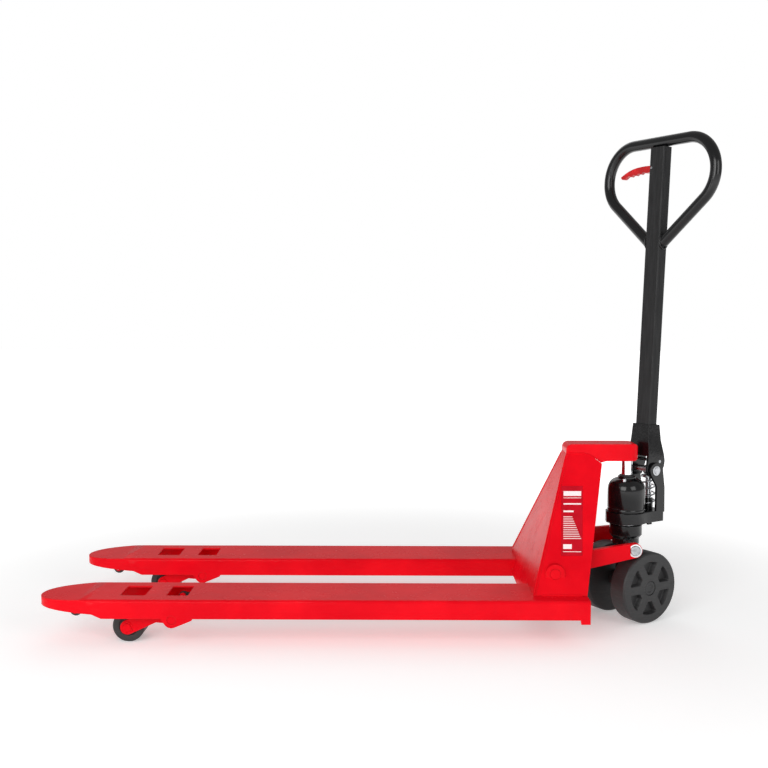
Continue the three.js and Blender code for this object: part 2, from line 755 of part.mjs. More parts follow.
function makeSpindle() {
  const bossHalf = wheelOuterFace - wheelWidth - sideGap - 1;
  const spindle = pinZ(0, 0, spindleRadius, 72, flangeBottom - seatGap)
    .add(pinY(0, wheelRadius, wheelAxleRadius + 8, -bossHalf, bossHalf))
    .subtract(pinY(0, wheelRadius, bore(wheelAxleRadius, seatGap), -bossHalf - 5, bossHalf + 5))
    .subtract(pinZ(0, 0, bore(pistonRadius), boreBottom, flangeBottom + 5));
  return toMesh('spindle', spindle, greyPaint);
}

function makeSteerAxle() {
  const half = wheelOuterFace - capDepth - 1;
  return toMesh('steer_axle', pinY(0, wheelRadius, wheelAxleRadius, -half, half), steel);
}

// the outline of one lug: from the flange's rear up and forward round the handle shaft
function lugOutline() {
  const top = handlePivotHeight;
  const shape = new THREE.Shape();
  shape.moveTo(63, flangeTop - 5);
  shape.lineTo(flangeRear - 1, flangeTop - 5);
  shape.lineTo(flangeRear - 2, 330);
  shape.lineTo(84, top);
  shape.absarc(handlePivotOut + 4, top, 20, 0, Math.PI / 2, false);
  shape.absarc(handlePivotOut, top, 20, Math.PI / 2, 1.15 * Math.PI, false);
  shape.lineTo(63, 335);
  return shape;
}

function makePumpBody() {
  const plan = new THREE.Shape();
  const half = lugOuter;
  plan.absarc(0, 0, flangeRadius, 1.1, 2 * Math.PI - 1.1, false);
  plan.lineTo(50, -half);
  plan.absarc(flangeRear - 8, -half + 8, 8, -Math.PI / 2, 0, false);
  plan.absarc(flangeRear - 8, half - 8, 8, 0, Math.PI / 2, false);
  plan.lineTo(50, half);
  const lugInner = lugOuter - lugThick;
  const guide = pinZ(plungerOut, 0, 12, flangeTop - 2, flangeTop + guideHeight);
  const body = plateXY(plan, flangeBottom, flangeTop, 5)
    .add(plateXZ(lugOutline(), lugInner, lugOuter))
    .add(plateXZ(lugOutline(), -lugOuter, -lugInner))
    .add(guide)
    .subtract(pinZ(0, 0, bore(pistonRadius), flangeBottom - 5, flangeTop + 5))
    .subtract(pinZ(plungerOut, 0, bore(8, runningGap, 24), flangeBottom + 4, flangeTop + 2 * guideHeight, 24))
    .subtract(pinY(handlePivotOut, handlePivotHeight, bore(handleShaftRadius, seatGap, 24), -60, 60, 24));
  return toMesh('pump_body', body, blackPaint);
}

// the oil tank: a plain cylinder, a rounded shoulder and a collar for the piston
function makeReservoir() {
  const collar = pistonRadius + 8;
  const shoulderSteps = 5;
  const profile = [[0, flangeTop + seatGap], [reservoirRadius, flangeTop + seatGap]];
  for (let step = 0; step <= shoulderSteps; step += 1) {
    const turn = (step / shoulderSteps) * (Math.PI / 2);
    const radius = collar + (reservoirRadius - collar) * Math.cos(turn);
    const z = reservoirShoulder + (reservoirTop - 5 - reservoirShoulder) * Math.sin(turn);
    profile.push([radius, z]);
  }
  profile.push([collar, reservoirTop], [0, reservoirTop]);
  const plug = fillerPlace();
  const tank = turned(profile)
    .subtract(pinZ(0, 0, bore(pistonRadius), flangeTop - 5, reservoirTop + 5))
    .subtract(pinZ(plug.x, plug.y, 6, plug.z, reservoirTop + 5, 24));
  return toMesh('reservoir', tank, blackPaint);
}

// the filler plug stands on the shoulder, away from the handle and towards the left
function fillerPlace() {
  const turn = 215 * degree;
  const out = 31;
  return { x: out * Math.cos(turn), y: out * Math.sin(turn), z: reservoirShoulder + 8 };
}

function makeFillerPlug() {
  const place = fillerPlace();
  const stem = 6 - seatGap;
  const z0 = place.z + seatGap;
  const z1 = reservoirShoulder + 29;
  const plug = turned([
    [0, z0], [stem, z0], [stem, z1 - 3], [stem - 1.5, z1], [0, z1],
  ], 24);
  return toMesh('filler_plug', plug.translate([place.x, place.y, 0]), steel);
}

function makePistonRod() {
  const top = headTop - headWall - cupRoof - 2 * seatGap;
  const rod = turned([
    [0, pistonBottom], [pistonRadius, pistonBottom], [pistonRadius, top - 8],
    [pistonRadius - 4, top - 2], [pistonRadius - 8, top], [0, top],
  ], pipeSteps);
  return toMesh('piston_rod', rod, chrome);
}

// the plunger's flat cap stands just under the pump roller of the leaning handle
const rollerDrop = pumpRollerOut * Math.sin(handleLean) + pumpRollerDown * Math.cos(handleLean);
const plungerTop = handlePivotHeight - rollerDrop - pumpRollerRadius - seatGap;
const plungerCap = 6;
const plungerTravel = 25;
const guideHeight = 26;

function makePlunger() {
  const bottom = flangeBottom + 4 + plungerTravel + 1;
  const plunger = turned([
    [0, bottom], [8, bottom], [8, plungerTop - plungerCap], [19, plungerTop - plungerCap],
    [19, plungerTop - 1], [18, plungerTop], [0, plungerTop],
  ], 24);
  return toMesh('plunger', plunger.translate([plungerOut, 0, 0]), steel);
}

const springWire = 2.2;
const springRadius = 15.5;
const springTurns = 4;
const springBottom = flangeTop + 0.5;

// the pump spring round the plunger: one wire on a helix
function makePlungerSpring() {
  const top = plungerTop - plungerCap - 0.5;
  const z0 = springBottom + springWire;
  const rise = top - springWire - z0;
  class Helix extends THREE.Curve {
    getPoint(t, target = new THREE.Vector3()) {
      const turn = t * springTurns * 2 * Math.PI;
      return target.set(
        plungerOut + springRadius * Math.cos(turn),
        springRadius * Math.sin(turn),
        z0 + rise * t,
      );
    }
  }
  const wire = new THREE.Shape();
  wire.absarc(0, 0, springWire, 0, 2 * Math.PI, false);
  const geometry = new THREE.ExtrudeGeometry(wire, {
    steps: springTurns * 12, bevelEnabled: false, extrudePath: new Helix(), curveSegments: 3,
  });
  return toMesh('plunger_spring', toManifold(geometry), steel);
}

function makeHandleShaft() {
  const half = lugOuter + 2.5;
  const shaft = pinY(handlePivotOut, handlePivotHeight, handleShaftRadius, -half, half, 24);
  return toMesh('handle_shaft', shaft, steel);
}

// the release valve's small lever below the pump's rear, on a cross pin
const releasePivotX = 76;
const releasePivotZ = 236;

function makeReleaseLever() {
  const outline = linkOutline(releasePivotX, releasePivotZ, 6, releasePivotX + 26, releasePivotZ + 2, 4);
  const lever = plateXZ(outline, -4, 4)
    .subtract(pinY(releasePivotX, releasePivotZ, bore(3, runningGap, 16), -10, 10, 16));
  return toMesh('release_lever', lever, steel);
}

// a small yoke under the flange that carries the release lever's pin
function makeReleaseYoke() {
  const top = flangeBottom - seatGap;
  const yoke = block(releasePivotX - 7, releasePivotX + 7, -10, 10, releasePivotZ - 7, top)
    .subtract(block(releasePivotX - 8, releasePivotX + 8, -5, 5, releasePivotZ - 8, releasePivotZ + 7.4))
    .subtract(pinY(releasePivotX, releasePivotZ, bore(3, seatGap, 16), -20, 20, 16));
  return toMesh('release_yoke', yoke, blackPaint);
}

function makeReleasePin() {
  return toMesh('release_pin', pinY(releasePivotX, releasePivotZ, 3, -9.5, 9.5, 16), steel);
}

// ---------------------------------------------------------------- steered wheels

const capRadius = 19;

// a solid wheel with a recessed outer web, six ribs and a raised hub
function makeSteerWheel(name, sign) {
  const soft = 3;
  const rimInner = wheelRadius - 20;
  const hubRadius = 26;
  const recess = 12;
  let wheel = turnedY([
    [0, 0], [wheelRadius - soft, 0], [wheelRadius, soft],
    [wheelRadius, wheelWidth - soft], [wheelRadius - soft, wheelWidth], [0, wheelWidth],
  ], wheelSteps);
  const ribs = 6;
  const ribHalf = 5;
  for (let index = 0; index < ribs; index += 1) {
    const from = (index / ribs) * 2 * Math.PI;
    const to = ((index + 1) / ribs) * 2 * Math.PI;
    const innerShift = Math.asin(ribHalf / hubRadius);
    const outerShift = Math.asin(ribHalf / rimInner);
    const pocket = new THREE.Shape();
    pocket.absarc(0, 0, rimInner, from + outerShift, to - outerShift, false);
    pocket.absarc(0, 0, hubRadius, to - innerShift, from + innerShift, true);
    wheel = wheel.subtract(plateXZ(pocket, wheelWidth - recess, wheelWidth + 1, 3));
  }
  const hubBore = bore(wheelAxleRadius);
  wheel = wheel
    .subtract(pinY(0, 0, hubBore, -1, wheelWidth - capDepth + 1))
    .subtract(pinY(0, 0, capRadius, wheelWidth - capDepth, wheelWidth + 1));
  const outer = wheelOuterFace - wheelWidth;
  const turnedOut = sign > 0 ? wheel : wheel.mirror([0, 1, 0]);
  return toMesh(name, turnedOut.translate([0, sign * outer, wheelRadius]), wheelNylon);
}

function makeWheelCap(name, sign) {
  const inner = wheelOuterFace - capDepth + seatGap;
  const radius = capRadius - seatGap;
  const outer = wheelOuterFace - 0.5;
  const cap = turnedY([
    [0, inner], [radius, inner], [radius, outer - 1], [radius - 1.2, outer], [0, outer],
  ], pipeSteps);
  const solid = sign > 0 ? cap : cap.mirror([0, 1, 0]);
  return toMesh(name, solid.translate([0, 0, wheelRadius]), wheelNylon);
}

// ---------------------------------------------------------------- handle
// Built upright over its pivot: the group's origin is the pivot, +Z runs up the tube.

const collarWall = 4;
const cheekOuter = lugOuter - lugThick - sideGap;
const cheekInner = cheekOuter - 7;

// the casting: cheeks round the pivot, a flared body and a socket for the tube
function makeHandleBase() {
  const side = new THREE.Shape();
  side.moveTo(-20, -11);
  side.lineTo(-8, -21);
  side.lineTo(24, -18);
  side.lineTo(35, 12);
  side.lineTo(36, 24);
  side.lineTo(24, 76);
  side.lineTo(tubeDeep / 2 + collarWall, collarTop);
  side.lineTo(-tubeDeep / 2 - collarWall, collarTop);
  side.lineTo(-20, 76);
  side.lineTo(-24, 0);
  const top = tubeAcross / 2 + collarWall;
  const front = polygon([
    [-cheekOuter, -40], [cheekOuter, -40], [cheekOuter, 40], [31, 76],
    [top, collarTop], [-top, collarTop], [-31, 76], [-cheekOuter, 40],
  ]);
  const socket = plateXY(roundedBox(tubeDeep + 2 * seatGap, tubeAcross + 2 * seatGap, 4), tubeStart - seatGap,
    collarTop + 10, 2);
  const mouth = block(-60, 60, -cheekInner, cheekInner, -60, 36);
  const base = plateXZ(side, -60, 60)
    .intersect(barYZ(front, -80, 80))
    .subtract(socket)
    .subtract(mouth)
    .subtract(block(-8, 8, -14, 14, 20, tubeStart + 5))
    .subtract(pinY(stopPinOut, stopPinUp, bore(stopPinRadius, seatGap, 16), -60, 60, 16))
    .subtract(pinY(pumpRollerOut, -pumpRollerDown, bore(pumpRollerPin, seatGap, 16), -60, 60, 16))
    .subtract(pinY(0, 0, bore(handleShaftRadius), -60, 60));
  return toMesh('handle_base', base, blackPaint);
}

function makePumpRoller() {
  const half = 12;
  const hole = bore(pumpRollerPin, seatGap, 16);
  const roller = pinY(pumpRollerOut, -pumpRollerDown, pumpRollerRadius, -half, half)
    .subtract(pinY(pumpRollerOut, -pumpRollerDown, hole, -2 * half, 2 * half, 16));
  return toMesh('pump_roller', roller, steel);
}

function makeRollerPin() {
  const half = cheekOuter - 1;
  const pin = pinY(pumpRollerOut, -pumpRollerDown, pumpRollerPin, -half, half, 16);
  return toMesh('roller_pin', pin, steel);
}

function makeHandleTube() {
  const top = loopTop - loopRadius - seatGap;
  const outer = plateXY(roundedBox(tubeDeep, tubeAcross, 5), tubeStart, top, 2);
  const inner = plateXY(roundedBox(tubeDeep - 2 * tubeWall, tubeAcross - 2 * tubeWall, 2.5),
    tubeStart - 5, top - 6, 2);
  const slot = block(-6, 6, tubeAcross / 2 - 10, tubeAcross / 2 + 10, leverHeight - 22, leverHeight + 14);
  const pinHole = pinX(leverPivotY, leverHeight, bore(3, seatGap, 16), tubeDeep);
  return toMesh('handle_tube', outer.subtract(inner).subtract(slot).subtract(pinHole), greyPaint);
}

// half of the loop's centre line runs out along a leg, round a corner and along the bar
function loopPath() {
  const cornerZ = loopTop - loopCorner;
  const turn = 48 * degree;
  const legY = loopBarHalf + loopCorner * Math.cos(turn);
  const legZ = cornerZ - loopCorner * Math.sin(turn);
  const side = tubeAcross / 2 + seatGap;
  const points = [];
  const corner = (sign) => {
    const arc = [];
    for (let step = 0; step <= 12; step += 1) {
      const angle = -turn + (step / 12) * (Math.PI / 2 + turn);
      arc.push(new THREE.Vector3(0, sign * (loopBarHalf + loopCorner * Math.cos(angle)),
        cornerZ + loopCorner * Math.sin(angle)));
    }
    return arc;
  };
  const legSteps = 3;
  for (let step = 0; step < legSteps; step += 1) {
    const t = step / legSteps;
    points.push(new THREE.Vector3(0, side + t * (legY - side), legStart + t * (legZ - legStart)));
  }
  points.push(...corner(1));
  points.push(new THREE.Vector3(0, 0, loopTop));
  points.push(...corner(-1).reverse());
  for (let step = legSteps - 1; step >= 0; step -= 1) {
    const t = step / legSteps;
    points.push(new THREE.Vector3(0, -side - t * (legY - side), legStart + t * (legZ - legStart)));
  }
  return new THREE.CatmullRomCurve3(points, false, 'centripetal');
}

function makeHandleLoop() {
  const round = new THREE.Shape();
  round.absarc(0, 0, loopRadius, 0, 2 * Math.PI, false);
  const geometry = new THREE.ExtrudeGeometry(round, {
    steps: 52, bevelEnabled: false, extrudePath: loopPath(), curveSegments: 5,
  });
  const reach = tubeAcross / 2 + seatGap;
  const tubeZone = block(-tubeDeep, tubeDeep, -reach, reach, 0, loopTop - loopRadius + 1);
  const loop = toManifold(geometry).subtract(tubeZone);
  return toMesh('handle_loop', loop, blackPaint);
}

function makeStopPin() {
  const half = cheekOuter + 0.5;
  return toMesh('stop_pin', pinY(stopPinOut, stopPinUp, stopPinRadius, -half, half, 16), steel);
}

const handLeverReach = 108;
const leverPivotY = tubeAcross / 2 - 8;

// the hand lever: out of the tube, bowed and bent down at its tip, with finger grooves below
function makeHandLever() {
  const start = leverPivotY - 7;
  const end = tubeAcross / 2 + handLeverReach;
  const shape = new THREE.Shape();
  shape.moveTo(start, leverHeight - 7);
  shape.lineTo(start, leverHeight + 7);
  shape.lineTo(tubeAcross / 2 + 20, leverHeight + 8);
  shape.bezierCurveTo(tubeAcross / 2 + 60, leverHeight + 8, end - 30, leverHeight + 4, end, leverHeight - 12);
  shape.bezierCurveTo(end + 1, leverHeight - 20, end - 12, leverHeight - 22, end - 16, leverHeight - 17);
  const grooves = 4;
  const first = tubeAcross / 2 + 20;
  const pitch = (end - 18 - first) / grooves;
  for (let index = grooves - 1; index >= 0; index -= 1) {
    const y = first + index * pitch;
    const dip = leverHeight - 10 - 1.6 * index;
    shape.quadraticCurveTo(y + pitch * 0.5, dip + 6, y, dip);
  }
  const geometry = new THREE.ExtrudeGeometry(shape, { depth: 11, bevelEnabled: false, curveSegments: 6 });
  geometry.rotateX(Math.PI / 2);
  geometry.rotateZ(Math.PI / 2);
  geometry.translate(-5.5, 0, 0);
  const lever = toManifold(geometry)
    .subtract(pinX(leverPivotY, leverHeight, bore(3, runningGap, 16), 20));
  return toMesh('control_lever', lever, leverPlastic);
}

function makeHandLeverPin() {
  return toMesh('lever_pin', pinX(leverPivotY, leverHeight, 3, tubeDeep / 2 + 0.5), steel);
}

// the pull rod hangs inside the tube between the hand lever and the pump's release
function makePullRod() {
  const rod = pinZ(0, 8, 3, tubeStart + 8, leverHeight - 20, 12);
  return toMesh('pull_rod', rod, steel);
}

// ---------------------------------------------------------------- assembly

const jack = new THREE.Group();
const frame = new THREE.Group();
const rocker = new THREE.Group();
const steered = new THREE.Group();
const handle = new THREE.Group();

for (const [side, sign] of sides) {
  frame.add(makeFork(`${side}_fork`, sign));
  frame.add(makeSidePlate(`${side}_side_plate`, sign));
  frame.add(makeArmPivot(`${side}_arm_pivot`, sign));
  frame.add(makeEntryAxle(`${side}_entry_axle`, sign));
  frame.add(makeEntryRoller(`${side}_entry_roller`, sign));
  frame.add(makeRollerArm(`${side}_roller_arm`, sign));
  frame.add(makeRollerAxle(`${side}_roller_axle`, sign));
  frame.add(makeLoadRoller(`${side}_load_roller`, sign));
  frame.add(makePushRod(`${side}_push_rod`, sign));
  rocker.add(makeRockerArm(`${side}_rocker_arm`, sign));
  rocker.add(makeRockerLever(`${side}_rocker_lever`, sign));
  rocker.add(makeLeverPin(`${side}_lever_pin`, sign));
  rocker.add(makeArmPin(`${side}_arm_pin`, sign));
  steered.add(makeSteerWheel(`${side}_steer_wheel`, sign));
  steered.add(makeWheelCap(`${side}_wheel_cap`, sign));
}
frame.add(makeFrontPlate(), makeHead(), makeLiftCup(), makePivotShaft(), makeNamePlate());
rocker.add(makeRockerTube());

steered.add(makeSpindle(), makeSteerAxle(), makePumpBody(), makeReservoir(), makeFillerPlug());
steered.add(makePistonRod(), makePlunger(), makePlungerSpring(), makeHandleShaft());
steered.add(makeReleaseYoke(), makeReleasePin(), makeReleaseLever());

handle.add(makeHandleBase(), makePumpRoller(), makeRollerPin(), makeHandleTube(), makeHandleLoop());
handle.add(makeStopPin());
handle.add(makeHandLever(), makeHandLeverPin(), makePullRod());
handle.rotation.y = handleLean;
handle.position.set(handlePivotOut, 0, handlePivotHeight);
steered.add(handle);
steered.rotation.z = steerAngle;

jack.add(frame, rocker, steered, makeBearingBlock(), makeThrustBearing());

// the finished group stands on its own footprint: the origin is the middle of its box, at the floor
jack.updateMatrixWorld(true);
const extent = new THREE.Box3().setFromObject(jack, true);
jack.position.x = -(extent.min.x + extent.max.x) / 2;
jack.position.y = -(extent.min.y + extent.max.y) / 2;

export default jack;
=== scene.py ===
import json
import math

import bmesh
import bpy
import numpy as np
from mathutils import Matrix, Vector


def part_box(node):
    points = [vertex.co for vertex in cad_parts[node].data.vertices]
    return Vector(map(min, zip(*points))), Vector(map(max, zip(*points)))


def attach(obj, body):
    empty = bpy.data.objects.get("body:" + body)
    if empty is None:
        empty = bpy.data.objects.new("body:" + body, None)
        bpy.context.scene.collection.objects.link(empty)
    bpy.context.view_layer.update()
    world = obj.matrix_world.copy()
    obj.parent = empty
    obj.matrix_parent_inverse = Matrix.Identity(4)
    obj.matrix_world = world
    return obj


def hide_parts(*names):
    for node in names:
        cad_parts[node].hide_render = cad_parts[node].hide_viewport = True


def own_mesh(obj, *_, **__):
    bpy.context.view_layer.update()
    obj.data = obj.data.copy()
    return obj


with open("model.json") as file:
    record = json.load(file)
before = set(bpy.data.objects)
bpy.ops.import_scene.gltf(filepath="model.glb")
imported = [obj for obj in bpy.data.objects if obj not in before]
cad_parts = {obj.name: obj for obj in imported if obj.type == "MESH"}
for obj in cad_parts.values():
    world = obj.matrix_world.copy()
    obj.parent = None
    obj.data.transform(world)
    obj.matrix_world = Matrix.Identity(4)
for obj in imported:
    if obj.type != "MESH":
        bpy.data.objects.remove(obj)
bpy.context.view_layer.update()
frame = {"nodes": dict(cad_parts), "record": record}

record = frame["record"]
joints = {joint["name"]: joint for joint in record["behaviour"]["joints"]}
bodyOf = {node: body for body, nodes in record["behaviour"]["bodies"].items() for node in nodes}
slotOf = {part["node"]: part["material_slot"] for part in record["subparts"]}
sides = {"left": -1, "right": 1}
print("frame loaded with", len(bodyOf), "nodes")


# ---- shader maths written as Python

class Wire:
    # one output socket; sums and products of wires add Math nodes to its tree
    def __init__(self, tree, socket):
        self.tree = tree
        self.socket = socket

    def make(self, kind, settings, values, output=0):
        # any node: its settings first, then the value or link of each socket
        node = self.tree.nodes.new(kind)
        for key, value in settings.items():
            setattr(node, key, value)
        for key, value in values.items():
            if isinstance(value, Wire):
                self.tree.links.new(value.socket, node.inputs[key])
            else:
                node.inputs[key].default_value = value
        return Wire(self.tree, node.outputs[output])

    def maths(self, operation, first, second=0.0):
        return self.make("ShaderNodeMath", {"operation": operation}, {0: first, 1: second})

    def __add__(self, other):
        return self.maths("ADD", self, other)

    __radd__ = __add__

    def __mul__(self, other):
        return self.maths("MULTIPLY", self, other)

    __rmul__ = __mul__

    def __sub__(self, other):
        return self.maths("SUBTRACT", self, other)

    def __rsub__(self, other):
        return self.maths("SUBTRACT", other, self)

    def __truediv__(self, other):
        return self.maths("DIVIDE", self, other)

    def __rtruediv__(self, other):
        return self.maths("DIVIDE", other, self)

    def __gt__(self, other):
        return self.maths("GREATER_THAN", self, other)

    def __lt__(self, other):
        return self.maths("LESS_THAN", self, other)

    def fade(self, low, high):
        # 0 at low and 1 at high, smooth between
        settings = {"interpolation_type": "SMOOTHSTEP"}
        values = {"Value": self, "From Min": low, "From Max": high}
        return self.make("ShaderNodeMapRange", settings, values)

    def noise(self, scale, detail=3.0, rough=0.55):
        values = {"Vector": self, "Scale": scale, "Detail": detail, "Roughness": rough}
        return self.make("ShaderNodeTexNoise", {}, values)

    def stretched(self, scales):
        return self.make("ShaderNodeVectorMath", {"operation": "MULTIPLY"}, {0: self, 1: scales})

    def axis(self, letter):
        return self.make("ShaderNodeSeparateXYZ", {}, {"Vector": self}, "XYZ".index(letter))

    def blend(self, low, high):
        # this wire as the factor between two colours
        settings = {"data_type": "RGBA"}
        return self.make("ShaderNodeMix", settings, {0: self, 6: opaque(low), 7: opaque(high)}, 2)


def opaque(colour):
    return colour if isinstance(colour, Wire) or len(colour) == 4 else (*colour, 1.0)


def newMaterial(name):
    material = bpy.data.materials.new(name)
    material.use_nodes = True
    tree = material.node_tree
    shader = tree.nodes["Principled BSDF"]
    coordinates = tree.nodes.new("ShaderNodeTexCoord")
    return material, tree, shader, Wire(tree, coordinates.outputs["Object"])


def connect(tree, shader, **sockets):
    for key, value in sockets.items():
        socket = shader.inputs[key.replace("_", " ")]
        if isinstance(value, Wire):
            tree.links.new(value.socket, socket)
        else:
            socket.default_value = value


def roundedNormal(place, radius, height, depth):
    # the surface's normal, rounded over at its edges, then bumped by a height
    bevelled = place.make("ShaderNodeBevel", {"samples": 6}, {"Radius": radius})
    values = {"Height": height, "Distance": depth, "Strength": 1.0, "Normal": bevelled}
    return place.make("ShaderNodeBump", {}, values), bevelled


def edgeOf(place, bevelled):
    # 0 on a flat face, growing towards 1 where the rounded normal leaves the true one
    flat = place.make("ShaderNodeNewGeometry", {}, {}, "True Normal")
    settings = {"operation": "DOT_PRODUCT"}
    match = place.make("ShaderNodeVectorMath", settings, {0: bevelled, 1: flat}, "Value")
    return (1 - match).fade(0.01, 0.22)


# ---- finishes

paintValues = {
    # the pale red is chipped wear and also a painted highlight laid along every rounded edge
    "red": (0.82, 0.004, 0.012), "deep": (0.68, 0.002, 0.009), "wearAndEdgeHighlight": (0.95, 0.030, 0.035),
    "roughness": 0.24, "spread": 0.06, "peel": 0.00002,
}


def redPaint(name, edge, values=paintValues):
    material, tree, shader, place = newMaterial(name)
    peel = place.noise(330, 2)
    cloud = place.noise(7, 4)
    smudge = place.noise(24, 5, 0.7).fade(0.42, 0.72)
    normal, bevelled = roundedNormal(place, edge, peel + 0.4 * place.noise(90, 2), values["peel"])
    rim = edgeOf(place, bevelled)
    chips = rim * place.noise(160, 4, 0.7).fade(0.55, 0.7)
    body = cloud.fade(0.3, 0.7).blend(values["deep"], values["red"])
    tinted = (0.35 + 0.65 * (1 - 0.25 * smudge)).blend(values["deep"], body)
    # towards the pale red along rounded edges: a painted edge highlight, with chipped wear where the chips
    # fall
    colour = (0.5 * rim + 0.3 * chips).blend(tinted, values["wearAndEdgeHighlight"])
    rough = values["roughness"] + values["spread"] * smudge + 0.1 * chips
    connect(tree, shader, Base_Color=colour, Roughness=rough, Normal=normal)
    connect(tree, shader, Specular_IOR_Level=0.03, Coat_Weight=0.05, Coat_Roughness=0.1)
    return material


glossValues = {
    # the dust grey also serves as a painted highlight along rounded edges
    "black": (0.0035, 0.0035, 0.004), "dustAndEdgeHighlight": (0.014, 0.014, 0.0145), "roughness": 0.16, "depth": 0.00003,
}


def blackGloss(name, edge, grain=260, depth=None, values=glossValues):
    material, tree, shader, place = newMaterial(name)
    dustAndEdgeHighlight = place.noise(35, 6, 0.7).fade(0.5, 0.8)
    fine = place.noise(grain, 3)
    normal, bevelled = roundedNormal(place, edge, fine, depth or values["depth"])
    rim = edgeOf(place, bevelled)
    # dust at random, and lighter along rounded edges: a painted edge highlight
    colour = (0.35 * dustAndEdgeHighlight + 0.25 * rim).blend(values["black"], values["dustAndEdgeHighlight"])
    rough = values["roughness"] + 0.18 * dustAndEdgeHighlight
    connect(tree, shader, Base_Color=colour, Roughness=rough, Normal=normal)
    connect(tree, shader, Specular_IOR_Level=0.35, Coat_Weight=0.12, Coat_Roughness=0.06)
    return material


# the light grey is streaked tone and also a painted highlight along rounded edges
satinValues = {"grey": (0.016, 0.016, 0.0165), "light": (0.036, 0.036, 0.037), "roughness": 0.34}


def greySatin(name, edge, values=satinValues):
    material, tree, shader, place = newMaterial(name)
    streak = place.stretched((60, 60, 4)).noise(3, 4)
    fine = place.noise(420, 2)
    normal, bevelled = roundedNormal(place, edge, fine + 0.3 * streak, 0.00005)
    rim = edgeOf(place, bevelled)
    # lighter in streaks at random, and lighter along rounded edges: a painted edge highlight
    colour = (0.55 * streak.fade(0.3, 0.75) + 0.5 * rim).blend(values["grey"], values["light"])
    rough = values["roughness"] + 0.12 * place.noise(18, 4).fade(0.35, 0.7)
    connect(tree, shader, Base_Color=colour, Roughness=rough, Normal=normal)
    connect(tree, shader, Specular_IOR_Level=0.15)
    return material


# the scuffed grey also serves as a painted highlight along rounded edges
nylonValues = {"dark": (0.018, 0.018, 0.019), "scuffAndEdgeHighlight": (0.062, 0.061, 0.060), "roughness": 0.5}


def wheelNylon(name, edge, lift=1.0, values=nylonValues):
    material, tree, shader, place = newMaterial(name)
    scuff = place.noise(60, 6, 0.75).fade(0.48, 0.75)
    streak = place.stretched((9, 9, 90)).noise(4, 4).fade(0.4, 0.75)
    fine = place.noise(520, 3)
    normal, bevelled = roundedNormal(place, edge, fine + 0.6 * scuff, 0.00008)
    rim = edgeOf(place, bevelled)
    # scuffs and streaks at random, and lighter along rounded edges: a painted edge highlight
    colour = (lift * (0.3 * scuff + 0.25 * streak + 0.4 * rim)).blend(values["dark"], values["scuffAndEdgeHighlight"])
    rough = values["roughness"] + 0.2 * scuff
    connect(tree, shader, Base_Color=colour, Roughness=rough, Normal=normal)
    return material


metalValues = {
    # bright and dull colour, roughness, depth of the turning lines
    "steel": ((0.55, 0.56, 0.58), (0.36, 0.37, 0.39), 0.27, 0.00003),
    "chrome": ((0.80, 0.81, 0.83), (0.66, 0.67, 0.70), 0.14, 0.000008),
}


def bareMetal(name, edge, kind, values=metalValues):
    bright, dull, base, depth = values[kind]
    material, tree, shader, place = newMaterial(name)
    stain = place.noise(55, 5, 0.7).fade(0.45, 0.75)
    lines = place.stretched((1, 1, 22)).noise(260, 2)
    normal = roundedNormal(place, edge, lines, depth)[0]
    colour = stain.blend(bright, dull)
    rough = base + base * 0.8 * stain
    connect(tree, shader, Base_Color=colour, Roughness=rough, Normal=normal, Metallic=1.0)
    return material


plasticValues = {"red": (0.66, 0.004, 0.008), "deep": (0.42, 0.002, 0.004), "roughness": 0.3}


def leverPlastic(name, edge, values=plasticValues):
    material, tree, shader, place = newMaterial(name)
    cloud = place.noise(40, 4).fade(0.35, 0.7)
    grain = place.noise(700, 3)
    normal = roundedNormal(place, edge, grain, 0.00004)[0]
    colour = cloud.blend(values["deep"], values["red"])
    rough = values["roughness"] + 0.15 * cloud
    connect(tree, shader, Base_Color=colour, Roughness=rough, Normal=normal)
    return material


labelValues = {
    "film": (0.46, 0.003, 0.012), "other": (0.54, 0.004, 0.016), "rule": (0.92, 0.80, 0.80),
    "lean": 0.095, "margin": 0.09,
    # each plain rule: its lower and upper place up the film, and how far across it runs
    "rules": [(0.855, 0.925, 0.84), (0.822, 0.830, 0.84), (0.728, 0.748, 0.84), (0.618, 0.642, 0.48),
              (0.095, 0.160, 0.40), (0.052, 0.060, 0.84)],
    "fineFrom": 0.235, "fineTo": 0.575, "fineCount": 11,
}


def labelFilm(name, values=labelValues):
    # a leaning panel with plain rules and no lettering; across and up run from 0 to 1
    material, tree, shader, place = newMaterial(name)
    low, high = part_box("name_plate")
    height = high[2] - low[2]
    lean = values["lean"] * height
    up = (place.axis("Z") - low[2]) / height
    across = (place.axis("X") - low[0] - lean * up) / (high[0] - low[0] - lean)
    ink = 0.0
    for bottom, top, reach in values["rules"]:
        ink = (up > bottom) * (up < top) * (across < values["margin"] + reach) + ink
    span = (up - values["fineFrom"]) / (values["fineTo"] - values["fineFrom"])
    stripe = (span * values["fineCount"]).maths("FRACT", span * values["fineCount"]) < 0.42
    inside = (span > 0.0) * (span < 1.0) * (across < 0.93 - 0.45 * span)
    ink = ink + 0.75 * stripe * inside
    ink = ink * (across > values["margin"])
    wearAndEdgeHighlight = place.noise(900, 3).fade(0.2, 0.5)
    normal = roundedNormal(place, 0.0003, place.noise(600, 2), 0.00002)[0]
    film = place.noise(30, 4).fade(0.3, 0.7).blend(values["film"], values["other"])
    colour = (ink * (0.75 + 0.25 * wearAndEdgeHighlight)).blend(film, values["rule"])
    connect(tree, shader, Base_Color=colour, Roughness=0.34 + 0.1 * wearAndEdgeHighlight, Normal=normal)
    connect(tree, shader, Specular_IOR_Level=0.08)
    return material


